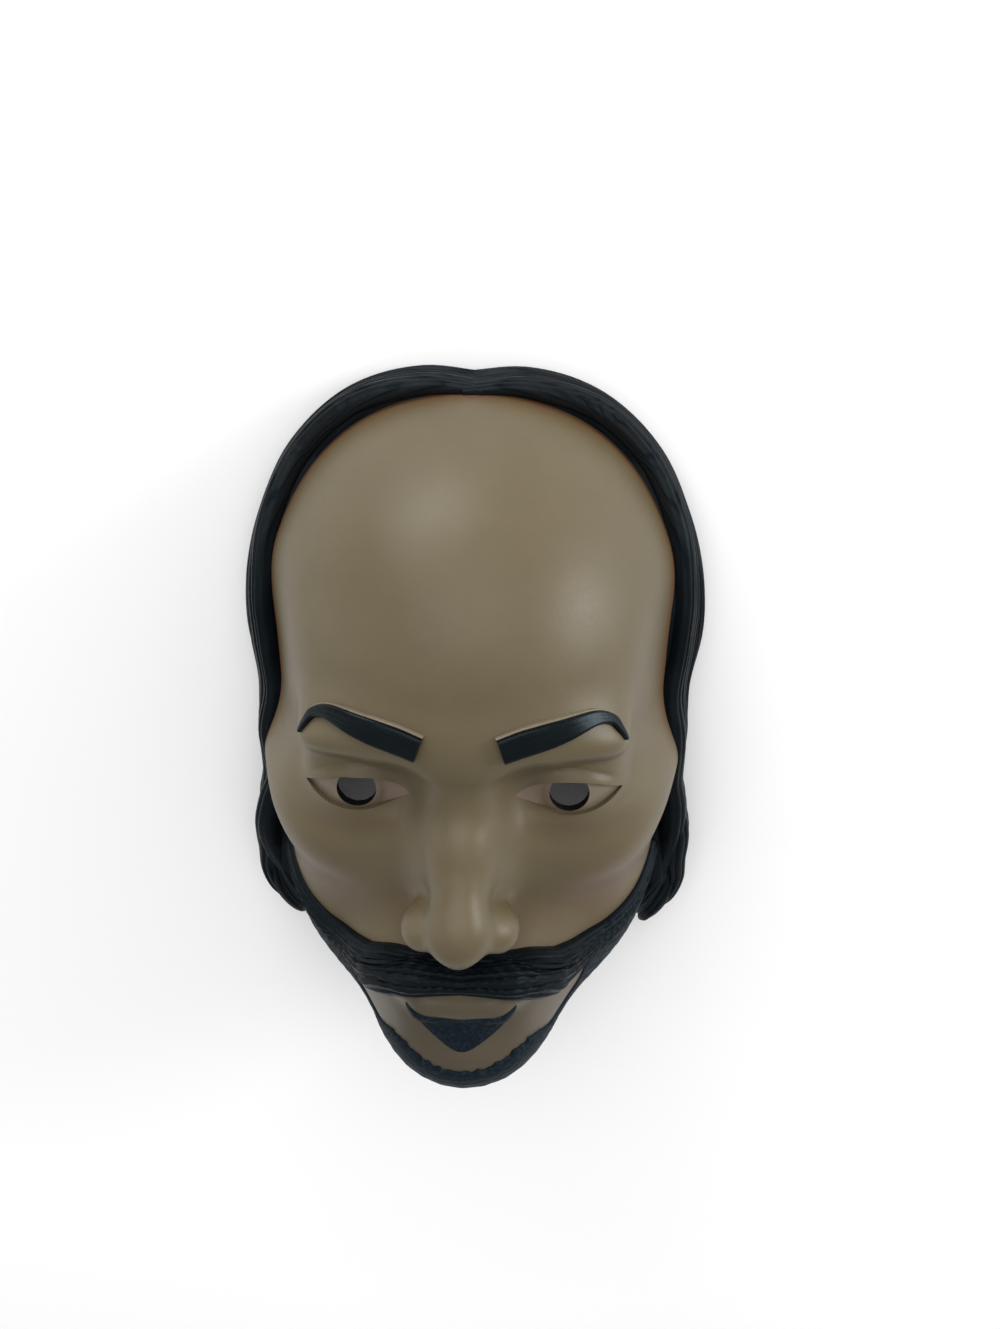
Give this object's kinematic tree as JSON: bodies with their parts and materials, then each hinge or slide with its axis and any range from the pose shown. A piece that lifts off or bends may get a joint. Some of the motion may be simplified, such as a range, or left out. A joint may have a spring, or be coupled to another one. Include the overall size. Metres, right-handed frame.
{
  "type": "bearded man mask",
  "caption": "Moulded face mask of a bald-browed man with shoulder hair, moustache and chin beard, hollow behind, with see-through eye holes.",
  "frame": {"origin": "centre of the outline, on the plane of the open back rim", "axes": "+Y towards the crown of the head, +Z out of the face, +X towards the wearer's left"},
  "size_m": [0.1554, 0.2298, 0.1064],
  "materials": {
    "painted_skin": "satin painted skin tone, with moulded hair, brows and beard painted black"
  },
  "bodies": {
    "root": {"mask": "painted_skin"}
  },
  "joints": []
}
